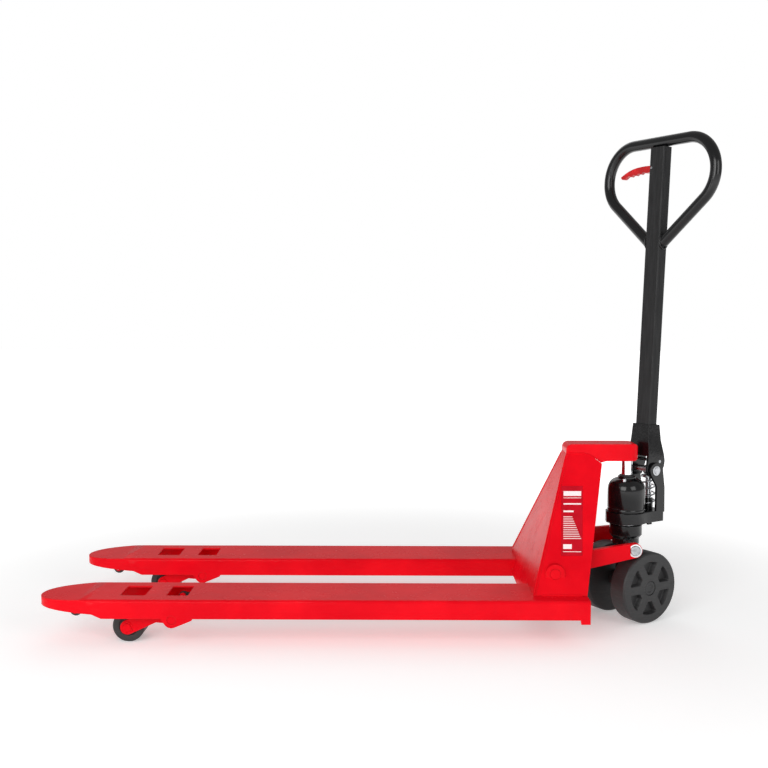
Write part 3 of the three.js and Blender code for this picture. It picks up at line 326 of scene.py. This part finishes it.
print("making the finishes")
finishes = {
    "red_paint": redPaint("redPowderCoat", 0.0016),
    "fork_paint": redPaint("forkPowderCoat", 0.0045),
    "black_paint": blackGloss("blackPowderCoat", 0.0014),
    "cast_paint": blackGloss("paintedCasting", 0.0022, grain=150, depth=0.00025),
    "grey_paint": greySatin("greySatinCoat", 0.0014),
    "steel": bareMetal("zincSteel", 0.0007, "steel"),
    "chrome": bareMetal("polishedChrome", 0.0009, "chrome"),
    "wheel_nylon": wheelNylon("wheelNylon", 0.0018),
    "roller_nylon": wheelNylon("rollerNylon", 0.0015, lift=0.5),
    "lever_plastic": leverPlastic("leverPlastic", 0.0014),
    "label_film": labelFilm("plainLabelFilm"),
}
special = {
    "fork_paint": ["left_fork", "right_fork"],
    "cast_paint": ["pump_body", "handle_base", "bearing_block", "release_yoke"],
    "steel": ["left_arm_pin", "right_arm_pin"],
    "red_paint": ["left_arm_pivot", "right_arm_pivot", "left_roller_axle", "right_roller_axle",
                  "pivot_shaft"],
}
finishOf = dict(slotOf)
for finish, nodes in special.items():
    for node in nodes:
        finishOf[node] = finish


# ---- making pieces

def addPiece(name, points, faces, body, finish, slot=None, stands=None, smooth=35):
    mesh = bpy.data.meshes.new(name)
    mesh.from_pydata(np.asarray(points).tolist(), [], [list(face) for face in faces])
    mesh.update()
    for polygon in mesh.polygons:
        polygon.use_smooth = True
    mesh.set_sharp_from_angle(angle=math.radians(smooth))
    mesh.materials.append(finishes[finish])
    piece = bpy.data.objects.new(name, mesh)
    bpy.context.scene.collection.objects.link(piece)
    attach(piece, body)
    if stands:
        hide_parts(stands)
    return piece


def gridFaces(rows, columns):
    # quads of a grid of points, its columns closed in a ring
    row, column = np.meshgrid(np.arange(rows - 1), np.arange(columns), indexing="ij")
    here, after = row * columns + column, row * columns + (column + 1) % columns
    return np.stack([here, after, after + columns, here + columns], axis=-1).reshape(-1, 4).tolist()


def orient(points, faces):
    # turns every face outwards on a closed shape
    mesh = bmesh.new()
    corners = [mesh.verts.new(point) for point in points]
    for face in faces:
        mesh.faces.new([corners[index] for index in face])
    bmesh.ops.recalc_face_normals(mesh, faces=mesh.faces)
    mesh.verts.index_update()
    result = [[corner.index for corner in face.verts] for face in mesh.faces]
    mesh.free()
    return result


def framed(centre, axis):
    # two unit vectors square to an axis, with the axis itself
    axis = np.array(axis, float) / np.linalg.norm(axis)
    helper = np.array([0.0, 0.0, 1.0]) if abs(axis[2]) < 0.9 else np.array([1.0, 0.0, 0.0])
    side = np.cross(helper, axis)
    side /= np.linalg.norm(side)
    return np.array(centre, float), side, np.cross(axis, side), axis


def softened(profile, radius, steps=4):
    # a profile whose inner corners become short arcs: a quadratic curve through each corner
    profile = np.asarray(profile, float)
    out = [profile[0]]
    for before, corner, after in zip(profile[:-2], profile[1:-1], profile[2:]):
        reach = min(radius, np.linalg.norm(corner - before) / 2.2, np.linalg.norm(after - corner) / 2.2)
        start = corner + (before - corner) / np.linalg.norm(before - corner) * reach
        end = corner + (after - corner) / np.linalg.norm(after - corner) * reach
        t = np.linspace(0, 1, steps + 1)[:, None]
        out.extend((1 - t) ** 2 * start + 2 * t * (1 - t) * corner + t ** 2 * end)
    out.append(profile[-1])
    return np.array(out)


def turnedPiece(name, profile, centre, axis, body, finish, steps=64, wobble=None, closed=False, **extra):
    # radius r and place a along the axis: centre + a axis + r (cos t side + sin t other)
    centre, side, other, axis = framed(centre, axis)
    profile = np.asarray(profile, float)
    turn = np.arange(steps) * 2 * math.pi / steps
    radius, along = np.broadcast_arrays(profile[:, 0][:, None], profile[:, 1][:, None])
    along = along + (wobble(profile, turn) if wobble else 0)
    ring = np.cos(turn)[:, None] * side + np.sin(turn)[:, None] * other
    points = centre + along[..., None] * axis + radius[..., None] * ring[None]
    rows = len(profile)
    faces = gridFaces(rows, steps)
    points = points.reshape(-1, 3)
    if closed:
        last = (rows - 1) * steps
        faces += [[last + i, last + (i + 1) % steps, (i + 1) % steps, i] for i in range(steps)]
    else:
        faces += [list(range(steps)), list(range((rows - 1) * steps, rows * steps))]
    return addPiece(name, points, orient(points, faces), body, finish, **extra)


def sweptPiece(name, path, radius, body, finish, steps=20, up=(0, 0, 1), **extra):
    # a round tube: each point of the path plus radius (cos t side + sin t other), square to the path
    path = np.asarray(path, float)
    heading = np.gradient(path, axis=0)
    heading /= np.linalg.norm(heading, axis=1)[:, None]
    side = np.cross(np.array(up, float), heading)
    side /= np.linalg.norm(side, axis=1)[:, None]
    other = np.cross(heading, side)
    turn = np.arange(steps) * 2 * math.pi / steps
    thick = np.broadcast_to(np.asarray(radius, float), (len(path),))[:, None, None]
    ring = np.cos(turn)[:, None] * side[:, None] + np.sin(turn)[:, None] * other[:, None]
    points = path[:, None] + thick * ring
    faces = gridFaces(len(path), steps)
    faces += [list(range(steps)), list(range((len(path) - 1) * steps, len(path) * steps))]
    points = points.reshape(-1, 3)
    return addPiece(name, points, orient(points, faces), body, finish, **extra)


def setCornerNormals(mesh, limit):
    # a corner's normal: the sum of area times normal over the faces at its point
    # that turn away from its own face by less than the limit
    count = len(mesh.polygons)
    normals = np.empty(count * 3)
    mesh.polygons.foreach_get("normal", normals)
    normals = normals.reshape(-1, 3)
    areas = np.empty(count)
    mesh.polygons.foreach_get("area", areas)
    pointOf = np.empty(len(mesh.loops), int)
    mesh.loops.foreach_get("vertex_index", pointOf)
    faceOf = np.repeat(np.arange(count), [polygon.loop_total for polygon in mesh.polygons])
    corners = {}
    for corner, point in enumerate(pointOf):
        corners.setdefault(point, []).append(corner)
    result = np.empty((len(pointOf), 3))
    for group in corners.values():
        around = faceOf[group]
        near = normals[around] @ normals[around].T > math.cos(limit)
        result[group] = (near * areas[around]) @ normals[around]
    result /= np.linalg.norm(result, axis=1)[:, None]
    mesh.normals_split_custom_set(result.tolist())


def smoothedCopy(node):
    # the CAD node's own shape with its triangles joined and its curved faces shaded smooth
    source = frame["nodes"][node]
    work = bmesh.new()
    work.from_mesh(source.data)
    bmesh.ops.remove_doubles(work, verts=work.verts, dist=2e-6)
    mesh = bpy.data.meshes.new(node + "_finished")
    work.to_mesh(mesh)
    work.free()
    mesh.transform(source.matrix_world)
    for polygon in mesh.polygons:
        polygon.use_smooth = True
    setCornerNormals(mesh, math.radians(32))
    mesh.materials.clear()
    mesh.materials.append(finishes[finishOf[node]])
    piece = bpy.data.objects.new(node + "_finished", mesh)
    bpy.context.scene.collection.objects.link(piece)
    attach(piece, bodyOf[node])
    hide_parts(node)
    return piece


# ---- steered wheels

wheelValues = {
    "radius": 0.090, "width": 0.050, "hub": 0.034, "rimInner": 0.067, "cap": 0.0188, "bore": 0.0127,
    "recess": 0.014, "spokes": 6, "spoke": 0.0105, "soft": 0.0035, "shoulder": 0.004, "capSink": 0.005,
}


def makeSteerWheel(side, values=wheelValues):
    # a turned wheel whose outer face sinks by recess times a smooth pocket mask between spokes
    joint = joints[side + "_wheel_spin"]
    axis = np.array(joint["axis"]) * sides[side]
    half = values["width"] / 2
    face = np.linspace(values["radius"] - values["shoulder"], values["cap"], 44)
    radius, shoulder = values["radius"], values["shoulder"]
    inner = [(values["bore"], -half), (radius - shoulder, -half), (radius, -half + shoulder),
             (radius, half - shoulder), (radius - shoulder, half)]
    inner = softened(inner, values["soft"])
    outer = np.stack([face, np.full_like(face, half)], axis=1)
    socketFloor = half - values["capSink"]
    socket = np.array([(values["cap"], socketFloor), (values["bore"], socketFloor)])
    profile = np.concatenate([inner, outer[1:], socket])

    def pocket(points, turn):
        radius = points[:, 0][:, None]
        onFace = (points[:, 1] >= half - 1e-6)[:, None]
        step = 2 * math.pi / values["spokes"]
        offset = np.abs((turn[None] + step / 2) % step - step / 2) * radius - values["spoke"]
        ramp = lambda x: np.clip(x, 0, 1) ** 2 * (3 - 2 * np.clip(x, 0, 1))
        mask = ramp(offset / values["soft"]) * ramp((radius - values["hub"]) / values["soft"])
        mask = mask * ramp((values["rimInner"] - radius) / values["soft"])
        return -values["recess"] * mask * onFace

    body = side + "_steer_wheel"
    return turnedPiece(side + "_wheel_body", profile, joint["pos_m"], axis, body, "wheel_nylon",
                       steps=192, wobble=pocket, closed=True, stands=body)


# the radius of the small hole left at a solid's own axis, too small to see
pole = 0.0004
capValues = {
    "radius": 0.0186, "foot": 0.0203, "top": 0.0245, "rim": 0.003, "dish": 0.011, "dishFoot": 0.0095,
}


def makeWheelCap(side, values=capValues):
    # a round cap with a chamfered rim and a shallow dish
    joint = joints[side + "_wheel_spin"]
    axis = np.array(joint["axis"]) * sides[side]
    radius, top, foot, dishTop = values["radius"], values["top"], values["foot"], values["top"] - 0.002
    profile = softened([(pole, foot), (radius, foot), (radius, top - 0.001), (radius - values["rim"], top),
                        (values["dish"], top), (values["dishFoot"], dishTop), (pole, dishTop)], 0.0008)
    return turnedPiece(side + "_hub_cap", profile, joint["pos_m"], axis, side + "_steer_wheel",
                       "wheel_nylon", stands=side + "_wheel_cap")


# ---- rollers

rollerValues = {"radius": 0.038, "half": 0.037, "bore": 0.0102, "soft": 0.0035, "hub": 0.021, "dish": 0.002}
entryValues = {"radius": 0.015, "half": 0.025, "bore": 0.0042, "soft": 0.002, "hub": 0.008, "dish": 0.001}


def makeRoller(side, kind, values):
    # a turned nylon roller with a shallow dished hub at both ends
    node = side + "_" + kind + "_roller"
    joint = joints[node + "_spin"]
    half, radius = values["half"], values["radius"]
    end = [(values["bore"], half - values["dish"]), (values["hub"], half - values["dish"]),
           (values["hub"] + 0.0015, half), (radius - values["soft"], half), (radius, half - values["soft"])]
    mirrored = [(r, -a) for r, a in reversed(end)]
    profile = softened(end + mirrored, 0.0012)
    return turnedPiece(side + "_" + kind + "_tyre", profile, joint["pos_m"], joint["axis"], node,
                       "roller_nylon", steps=72, closed=True, stands=node)


# ---- pump

tankValues = {"collar": 0.0225, "bore": 0.0143, "shoulder": 0.055, "domeTop": 0.005, "seam": 0.0008}


def upright(node):
    # an upright round node's radius, its axis, and its lower and upper height
    low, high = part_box(node)
    return (high[0] - low[0]) / 2, ((high[0] + low[0]) / 2, (high[1] + low[1]) / 2, 0), low[2], high[2]


def makeReservoir(values=tankValues):
    # a turned tank: straight wall with a seam, quarter-round shoulder, and a collar round the rod
    radius, centre, low, high = upright("reservoir")
    collar, bore, shoulder = values["collar"], values["bore"], low + values["shoulder"]
    turn = np.linspace(0, math.pi / 2, 14)
    dome = np.stack([collar + (radius - collar) * np.cos(turn),
                     shoulder + (high - values["domeTop"] - shoulder) * np.sin(turn)], axis=1)
    groove = radius - values["seam"]
    wall = [(bore, low), (radius, low), (radius, low + 0.006), (groove, low + 0.0075), (groove, low + 0.009),
            (radius, low + 0.0105)]
    top = [(collar, high - 0.001), (collar - 0.001, high), (bore + 0.002, high), (bore, high - 0.0015)]
    profile = np.concatenate([softened(wall, 0.0006), dome, top])
    return turnedPiece("oil_tank", profile, centre, (0, 0, 1), "pump", "black_paint", steps=96, closed=True,
                       stands="reservoir")


def makePistonRod():
    # a ground rod with a domed end
    radius, centre, low, high = upright("piston_rod")
    profile = softened([(pole, low), (radius, low), (radius, high - 0.008), (radius - 0.004, high - 0.002),
                        (radius - 0.008, high), (pole, high)], 0.002)
    return turnedPiece("ground_rod", profile, centre, (0, 0, 1), "piston", "chrome", stands="piston_rod")


def makeRodWiper():
    # a rubber lip standing on the tank's collar round the rod
    centre, foot = upright("reservoir")[1], upright("reservoir")[3]
    bore, lip, rim, top = tankValues["bore"], 0.0165, 0.0195, foot + 0.0045
    profile = softened([(bore, foot), (rim, foot), (rim, foot + 0.002), (lip, top), (bore, top)], 0.0007)
    return turnedPiece("rod_wiper", profile, centre, (0, 0, 1), "pump", "roller_nylon", closed=True)


# ---- the handle's own frame: its pivot, sideways, up along the tube, and forward

handleOrigin = np.array(joints["handle"]["pos_m"])
handleSide = np.array(joints["handle"]["axis"])
handleUp = np.array(joints["pull_rod_slide"]["axis"])
handleForward = np.cross(handleSide, handleUp)


def onHandle(points):
    # points given forward, sideways and up from the handle's pivot
    points = np.asarray(points, float)
    return handleOrigin + points @ np.stack([handleForward, handleSide, handleUp])


loopValues = {
    "top": 0.836, "corner": 0.087, "bar": 0.094, "turn": 48, "start": 0.581, "tube": 0.0248,
    "radius": 0.0138, "ringTall": 0.0185,
}


def makeLoop(values=loopValues):
    # half the centre line: a straight leg, an arc of the corner radius, then the top bar; mirrored
    turn = math.radians(values["turn"])
    centreUp = values["top"] - values["corner"]
    angle = np.linspace(-turn, math.pi / 2, 40)
    arc = np.stack([np.cos(angle), np.sin(angle)], axis=1) * values["corner"] + (values["bar"], centreUp)
    leg = np.linspace((values["tube"], values["start"]), arc[0], 16)[:-1]
    bar = np.linspace(arc[-1], (0.0, values["top"]), 10)[1:]
    half = np.concatenate([leg, arc, bar])
    whole = np.concatenate([half, half[-2::-1] * (-1, 1)])
    path = onHandle(np.stack([np.zeros(len(whole)), whole[:, 0], whole[:, 1]], axis=1))
    return sweptPiece("steering_loop", path, values["radius"], "handle", "black_paint", steps=32,
                      up=handleForward, stands="handle_loop")


# ---- weld beads and small fasteners

beadValues = {
    "step": 0.0009, "puddle": 0.0042, "taper": 0.004, "foot": 0.0026, "seam": 0.0020, "loop": 0.0022,
}


def makeBead(name, start, end, radius, seed):
    # a straight bead whose radius rises and falls once for each puddle, a little unevenly
    start, end = np.array(start, float), np.array(end, float)
    length = np.linalg.norm(end - start)
    count = max(int(length / beadValues["step"]), 12)
    t = np.linspace(0, 1, count)
    uneven = np.random.default_rng(seed).normal(0, 0.05, count)
    puddles = 0.86 + 0.14 * np.abs(np.sin(t * length / beadValues["puddle"] * math.pi))
    ripple = puddles + np.convolve(uneven, np.ones(5) / 5, "same")
    taper = np.clip(np.minimum(t, 1 - t) * length / beadValues["taper"], 0.25, 1)
    path = start + t[:, None] * (end - start)
    up = (0, 0, 1) if abs((end - start)[2]) < 0.8 * length else (1, 0, 0)
    thick = radius * ripple * taper
    return sweptPiece(name, path, thick, "fork_frame", "red_paint", steps=12, up=up, smooth=60)


def makeTowerWelds():
    # along the foot of each side plate, up its front edge and under the head
    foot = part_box("front_plate")
    headLow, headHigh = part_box("tower_head")
    for side, sign in sides.items():
        low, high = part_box(side + "_side_plate")
        outer = high[1] if sign > 0 else low[1]
        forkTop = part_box(side + "_fork")[1][2]
        topY = headHigh[1] if sign > 0 else headLow[1]
        topZ = foot[1][2]
        frontTop = foot[1][0] - 0.0065
        # the front face is one straight line from the plate's lowest corner to its top
        share = (forkTop - foot[0][2]) / (topZ - foot[0][2])
        frontFoot = foot[0][0] + share * (frontTop - foot[0][0])
        makeBead(side + "_foot_weld", (low[0] + 0.012, outer + sign * 0.0008, forkTop + 0.0012),
                 (high[0] - 0.075, outer + sign * 0.0008, forkTop + 0.0012), beadValues["foot"], seed=3)
        makeBead(side + "_front_seam", (frontFoot + 0.0015, outer - sign * 0.0008, forkTop + 0.004),
                 (frontTop, topY + sign * 0.0002, topZ - 0.004), beadValues["seam"], seed=5)
        makeBead(side + "_head_seam", (frontTop + 0.004, topY + sign * 0.0004, topZ + 0.0006),
                 (frontTop + 0.052, topY + sign * 0.0004, topZ + 0.0006), beadValues["seam"], seed=7)


def makeLoopWelds(values=loopValues):
    # a rippled ring round each leg's end, where it meets the tube
    for sign, name in ((-1, "left"), (1, "right")):
        turn = np.linspace(0, 2 * math.pi, 60)
        y = sign * (values["tube"] + 0.0012)
        z = values["start"] + values["ringTall"] * np.sin(turn)
        x = values["radius"] * np.cos(turn)
        path = onHandle(np.stack([x, np.full_like(x, y), z + 0.002], axis=1))
        ripple = beadValues["loop"] * (0.85 + 0.15 * np.abs(np.sin(turn * 9)))
        sweptPiece(name + "_leg_weld", path, ripple, "handle", "black_paint", steps=10,
                   up=handleSide, smooth=60)


# each ring's inner and outer radius and thickness, and how far in or out it sits
clipValues = {
    "pin": (0.0127, 0.0165, 0.0014), "pinSink": 0.004,
    "axle": (0.0103, 0.0138, 0.0016), "axleSink": 0.003,
    "shaft": (0.0083, 0.0125, 0.0013), "shaftOut": 0.0441,
}


def ringAt(name, centre, axis, sizes, body, finish):
    inner, outer, thick = sizes
    profile = softened([(inner, 0), (outer, 0), (outer, thick), (inner, thick)], 0.0006)
    return turnedPiece(name, profile, centre, axis, body, finish, steps=56, closed=True)


print("turning wheels, rollers and the pump")
rebuilt = set()
for side in sides:
    makeSteerWheel(side)
    makeWheelCap(side)
    makeRoller(side, "load", rollerValues)
    makeRoller(side, "entry", entryValues)
    rebuilt |= {side + "_steer_wheel", side + "_wheel_cap", side + "_load_roller", side + "_entry_roller"}
makeReservoir()
makePistonRod()
makeRodWiper()
makeLoop()
rebuilt |= {"reservoir", "piston_rod", "handle_loop"}

print("finishing the CAD shapes")
finished = {node: smoothedCopy(node) for node in bodyOf if node not in rebuilt}

# the spring's finished copy gets a mesh of its own
springLow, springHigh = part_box("plunger_spring")
springShare = joints["plunger_slide"]["range_m"][1] / (springHigh[2] - springLow[2])
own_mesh(finished["plunger_spring"], "plunger_slide", axis=(0, 0, 1), anchor=springLow,
          keep=1 - springShare)

print("adding welds and fasteners")
makeTowerWelds()
makeLoopWelds()
for side, sign in sides.items():
    (lowX, lowY, lowZ), (highX, highY, highZ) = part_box(side + "_arm_pin")
    outerY = highY if sign > 0 else lowY
    place = ((lowX + highX) / 2, sign * (abs(outerY) - clipValues["pinSink"]), (lowZ + highZ) / 2)
    ringAt(side + "_pin_circlip", place, (0, sign, 0), clipValues["pin"], "rocker", "chrome")
    (lowX, lowY, lowZ), (highX, highY, highZ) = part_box(side + "_roller_axle")
    outerY = highY if sign > 0 else lowY
    place = ((lowX + highX) / 2, outerY - sign * clipValues["axleSink"], (lowZ + highZ) / 2)
    ringAt(side + "_axle_washer", place, (0, sign, 0), clipValues["axle"], side + "_roller_arm", "red_paint")
    end = handleOrigin + handleSide * sign * clipValues["shaftOut"]
    ringAt(side + "_shaft_clip", end, handleSide * sign, clipValues["shaft"], "pump", "steel")


# ---- floor, light and camera

floorValues = {"white": 0.86, "glow": 0.9, "near": 0.36, "far": 1.0, "from": 0.9, "to": 2.6}


def paperMaterial(name, values=floorValues):
    # paper whose own light grows from near the jack outwards, so its far edge fades into the sky
    material, tree, shader, place = newMaterial(name)
    distance = place.make("ShaderNodeVectorMath", {"operation": "LENGTH"}, {0: place}, "Value")
    grown = distance.fade(values["from"], values["to"])
    glow = grown.blend((values["near"],) * 3, (values["far"],) * 3)
    connect(tree, shader, Base_Color=(*(values["white"],) * 3, 1.0), Roughness=0.95, Specular_IOR_Level=0.0)
    connect(tree, shader, Emission_Color=glow, Emission_Strength=values["glow"])
    return material


floorMesh = bpy.data.meshes.new("studioFloor")
reach = 14.0
floorCorners = [(-reach, -reach, 0), (reach, -reach, 0), (reach, reach, 0), (-reach, reach, 0)]
floorMesh.from_pydata(floorCorners, [], [(0, 1, 2, 3)])
floor = bpy.data.objects.new("studioFloor", floorMesh)
floorMesh.materials.append(paperMaterial("palePaper"))
bpy.context.scene.collection.objects.link(floor)
floor.location.z = -0.0005

skyGlow = 0.42
lightValues = {
    "key": ((-1.6, -3.6, 1.9), (0.2, 0.0, 0.3), 2.4, 2.4, 80),
    "fill": ((2.4, -2.8, 1.7), (0.5, 0.0, 0.5), 1.8, 1.8, 28),
    "strip": ((-2.6, -1.9, 1.3), (0.6, 0.0, 0.8), 0.35, 2.2, 9),
    "back": ((-0.5, 3.2, 2.6), (0.2, 0.0, 0.4), 2.6, 2.6, 18),
}
world = bpy.data.worlds.new("studio")
bpy.context.scene.world = world
bpy.context.scene.view_settings.view_transform = "Standard"
world.use_nodes = True
# the sky is white to look at and lights the jack with less than that
sky = Wire(world.node_tree, None)
seen = sky.make("ShaderNodeLightPath", {}, {}, "Is Camera Ray")
paper = world.node_tree.nodes["Background"]
world.node_tree.links.new((skyGlow + (1 - skyGlow) * seen).socket, paper.inputs["Strength"])
paper.inputs["Color"].default_value = (1, 1, 1, 1)
for name, (place, aim, wide, tall, power) in lightValues.items():
    light = bpy.data.lights.new(name, "AREA")
    light.shape = "RECTANGLE"
    light.size, light.size_y = wide, tall
    light.energy = power
    lamp = bpy.data.objects.new(name, light)
    lamp.location = place
    lamp.rotation_euler = (Vector(aim) - Vector(place)).to_track_quat("-Z", "Y").to_euler()
    bpy.context.scene.collection.objects.link(lamp)

# the eye stands 2.64 m to the left of the jack's middle plane, a little ahead of its forks' middle
cameraValues = {
    "fromAxis": -0.590, "left": 2.6403, "height": 0.8114, "down": 4.64, "turn": 0.67, "lens": 48.75,
}
steerAxis = joints["steer"]["pos_m"]
camera = bpy.data.objects.new("camera", bpy.data.cameras.new("camera"))
camera.data.lens = cameraValues["lens"]
camera.data.sensor_width = 36
camera.location = (steerAxis[0] + cameraValues["fromAxis"], -cameraValues["left"], cameraValues["height"])
camera.rotation_euler = (math.radians(90 - cameraValues["down"]), 0, math.radians(cameraValues["turn"]))
bpy.context.scene.collection.objects.link(camera)
bpy.context.scene.camera = camera

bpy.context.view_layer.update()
print("scene ready")
